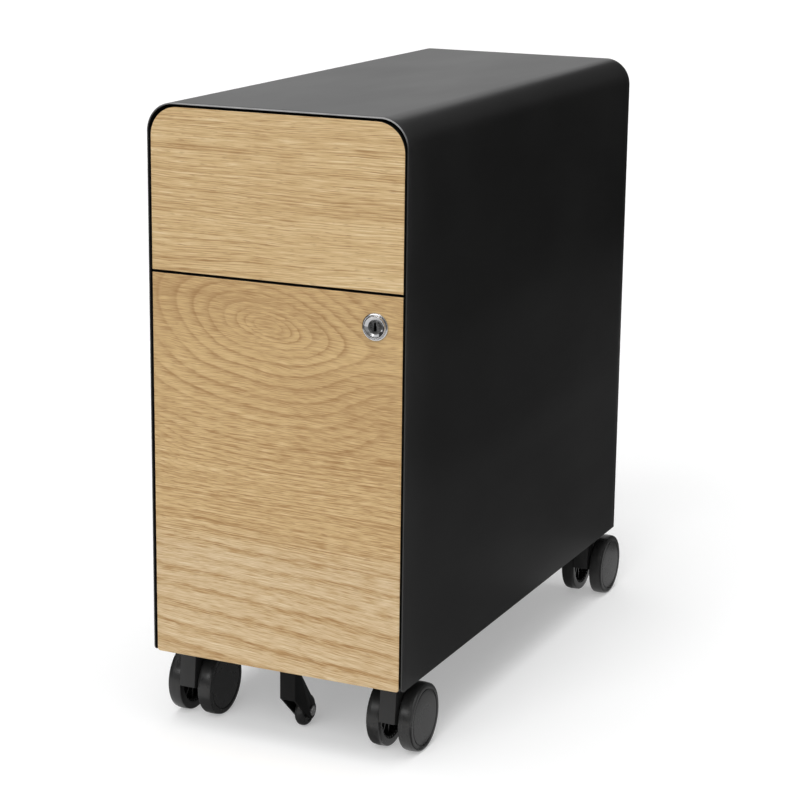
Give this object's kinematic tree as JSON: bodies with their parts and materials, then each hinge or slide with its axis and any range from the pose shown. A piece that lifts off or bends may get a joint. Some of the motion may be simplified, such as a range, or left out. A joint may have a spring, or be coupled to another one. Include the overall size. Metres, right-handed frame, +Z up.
{
  "type": "mobile filing cabinet",
  "caption": "Slim mobile filing cabinet: black folded steel case, oak fronts on a box drawer and a locking file drawer, ball slides, twin-wheel casters and an anti-tip wheel.",
  "frame": {"origin": "on the floor under the middle of the cabinet's overall box", "axes": "+X to the right seen from the front, -Y out of the drawer fronts, +Z up"},
  "size_m": [0.26, 0.6044, 0.6],
  "materials": {
    "case_paint": "satin black powder coat",
    "inner_paint": "satin black paint",
    "oak_veneer": "light oak veneer with a matt lacquer, grain across",
    "zinc_plate": "bright zinc plate",
    "lock_chrome": "polished chrome",
    "lock_steel": "dull nickel",
    "axle_steel": "turned steel",
    "fork_plastic": "moulded nylon, fine grain",
    "wheel_plastic": "moulded nylon, satin"
  },
  "bodies": {
    "case": {"case_shell": "case_paint", "back_panel": "inner_paint", "base_pan": "inner_paint", "front_left_upright": "inner_paint", "front_right_upright": "inner_paint", "rear_left_upright": "inner_paint", "rear_right_upright": "inner_paint", "divider_rail": "inner_paint", "upper_left_slide_outer": "zinc_plate", "upper_right_slide_outer": "zinc_plate", "lower_left_slide_outer": "zinc_plate", "lower_right_slide_outer": "zinc_plate", "caster_stems": "zinc_plate", "caster_nuts": "zinc_plate"},
    "upper_drawer": {"upper_front": "oak_veneer", "upper_drawer_box": "inner_paint", "upper_left_slide_inner": "zinc_plate", "upper_right_slide_inner": "zinc_plate", "upper_front_screws": "zinc_plate"},
    "lower_drawer": {"lower_front": "oak_veneer", "lower_drawer_box": "inner_paint", "lower_left_slide_inner": "zinc_plate", "lower_right_slide_inner": "zinc_plate", "lower_front_screws": "zinc_plate", "front_file_rail": "inner_paint", "rear_file_rail": "inner_paint", "lock_housing": "lock_chrome", "lock_nut": "lock_chrome", "anti_tip_fork": "inner_paint", "anti_tip_axle": "axle_steel", "anti_tip_screws": "zinc_plate"},
    "upper_slide_middles": {"upper_left_slide_middle": "zinc_plate", "upper_right_slide_middle": "zinc_plate"},
    "upper_outer_cages": {"upper_outer_ball_cages": "zinc_plate"},
    "upper_inner_cages": {"upper_inner_ball_cages": "zinc_plate"},
    "lower_slide_middles": {"lower_left_slide_middle": "zinc_plate", "lower_right_slide_middle": "zinc_plate"},
    "lower_outer_cages": {"lower_outer_ball_cages": "zinc_plate"},
    "lower_inner_cages": {"lower_inner_ball_cages": "zinc_plate"},
    "lock_barrel": {"lock_plug": "lock_steel", "lock_cam": "lock_steel", "lock_cam_screw": "lock_steel"},
    "anti_tip_roller": {"anti_tip_wheel": "wheel_plastic"},
    "front_left_swivel": {"front_left_caster_fork": "fork_plastic", "front_left_caster_axle": "axle_steel"},
    "front_left_left_roller": {"front_left_caster_left_wheel": "wheel_plastic"},
    "front_left_right_roller": {"front_left_caster_right_wheel": "wheel_plastic"},
    "front_right_swivel": {"front_right_caster_fork": "fork_plastic", "front_right_caster_axle": "axle_steel"},
    "front_right_left_roller": {"front_right_caster_left_wheel": "wheel_plastic"},
    "front_right_right_roller": {"front_right_caster_right_wheel": "wheel_plastic"},
    "rear_left_swivel": {"rear_left_caster_fork": "fork_plastic", "rear_left_caster_axle": "axle_steel"},
    "rear_left_left_roller": {"rear_left_caster_left_wheel": "wheel_plastic"},
    "rear_left_right_roller": {"rear_left_caster_right_wheel": "wheel_plastic"},
    "rear_right_swivel": {"rear_right_caster_fork": "fork_plastic", "rear_right_caster_axle": "axle_steel"},
    "rear_right_left_roller": {"rear_right_caster_left_wheel": "wheel_plastic"},
    "rear_right_right_roller": {"rear_right_caster_right_wheel": "wheel_plastic"}
  },
  "joints": [
    {"name": "upper_drawer_slide", "type": "slide", "parent": "case", "child": "upper_drawer", "axis": [0, -1, 0], "range_m": [0, 0.48]},
    {"name": "upper_slide_middles_slide", "type": "slide", "parent": "case", "child": "upper_slide_middles", "axis": [0, -1, 0], "range_m": [0, 0.24]},
    {"name": "upper_outer_cages_slide", "type": "slide", "parent": "case", "child": "upper_outer_cages", "axis": [0, -1, 0], "range_m": [0, 0.12]},
    {"name": "upper_inner_cages_slide", "type": "slide", "parent": "case", "child": "upper_inner_cages", "axis": [0, -1, 0], "range_m": [0, 0.36]},
    {"name": "lower_drawer_slide", "type": "slide", "parent": "case", "child": "lower_drawer", "axis": [0, -1, 0], "range_m": [0, 0.48]},
    {"name": "lower_slide_middles_slide", "type": "slide", "parent": "case", "child": "lower_slide_middles", "axis": [0, -1, 0], "range_m": [0, 0.24]},
    {"name": "lower_outer_cages_slide", "type": "slide", "parent": "case", "child": "lower_outer_cages", "axis": [0, -1, 0], "range_m": [0, 0.12]},
    {"name": "lower_inner_cages_slide", "type": "slide", "parent": "case", "child": "lower_inner_cages", "axis": [0, -1, 0], "range_m": [0, 0.36]},
    {"name": "lock_turn", "type": "hinge", "parent": "lower_drawer", "child": "lock_barrel", "pos_m": [0.1, -0.29925, 0.415], "axis": [0, 1, 0], "range_deg": [0, 90]},
    {"name": "anti_tip_roll", "type": "hinge", "parent": "lower_drawer", "child": "anti_tip_roller", "pos_m": [0, -0.23755, 0.0162], "axis": [1, 0, 0], "continuous": true},
    {"name": "front_left_swivel_turn", "type": "hinge", "parent": "case", "child": "front_left_swivel", "pos_m": [-0.106, -0.26875, 0.075], "axis": [0, 0, 1], "continuous": true},
    {"name": "front_left_left_roll", "type": "hinge", "parent": "front_left_swivel", "child": "front_left_left_roller", "pos_m": [-0.106, -0.24375, 0.033], "axis": [1, 0, 0], "continuous": true},
    {"name": "front_left_right_roll", "type": "hinge", "parent": "front_left_swivel", "child": "front_left_right_roller", "pos_m": [-0.106, -0.24375, 0.033], "axis": [1, 0, 0], "continuous": true},
    {"name": "front_right_swivel_turn", "type": "hinge", "parent": "case", "child": "front_right_swivel", "pos_m": [0.106, -0.26875, 0.075], "axis": [0, 0, 1], "continuous": true},
    {"name": "front_right_left_roll", "type": "hinge", "parent": "front_right_swivel", "child": "front_right_left_roller", "pos_m": [0.106, -0.24375, 0.033], "axis": [1, 0, 0], "continuous": true},
    {"name": "front_right_right_roll", "type": "hinge", "parent": "front_right_swivel", "child": "front_right_right_roller", "pos_m": [0.106, -0.24375, 0.033], "axis": [1, 0, 0], "continuous": true},
    {"name": "rear_left_swivel_turn", "type": "hinge", "parent": "case", "child": "rear_left_swivel", "pos_m": [-0.106, 0.24425, 0.075], "axis": [0, 0, 1], "continuous": true},
    {"name": "rear_left_left_roll", "type": "hinge", "parent": "rear_left_swivel", "child": "rear_left_left_roller", "pos_m": [-0.106, 0.26925, 0.033], "axis": [1, 0, 0], "continuous": true},
    {"name": "rear_left_right_roll", "type": "hinge", "parent": "rear_left_swivel", "child": "rear_left_right_roller", "pos_m": [-0.106, 0.26925, 0.033], "axis": [1, 0, 0], "continuous": true},
    {"name": "rear_right_swivel_turn", "type": "hinge", "parent": "case", "child": "rear_right_swivel", "pos_m": [0.106, 0.24425, 0.075], "axis": [0, 0, 1], "continuous": true},
    {"name": "rear_right_left_roll", "type": "hinge", "parent": "rear_right_swivel", "child": "rear_right_left_roller", "pos_m": [0.106, 0.26925, 0.033], "axis": [1, 0, 0], "continuous": true},
    {"name": "rear_right_right_roll", "type": "hinge", "parent": "rear_right_swivel", "child": "rear_right_right_roller", "pos_m": [0.106, 0.26925, 0.033], "axis": [1, 0, 0], "continuous": true}
  ],
  "couplings": [
    {"joint": "upper_slide_middles_slide", "follows": "upper_drawer_slide", "ratio": 0.5},
    {"joint": "upper_outer_cages_slide", "follows": "upper_drawer_slide", "ratio": 0.25},
    {"joint": "upper_inner_cages_slide", "follows": "upper_drawer_slide", "ratio": 0.75},
    {"joint": "lower_slide_middles_slide", "follows": "lower_drawer_slide", "ratio": 0.5},
    {"joint": "lower_outer_cages_slide", "follows": "lower_drawer_slide", "ratio": 0.25},
    {"joint": "lower_inner_cages_slide", "follows": "lower_drawer_slide", "ratio": 0.75}
  ]
}
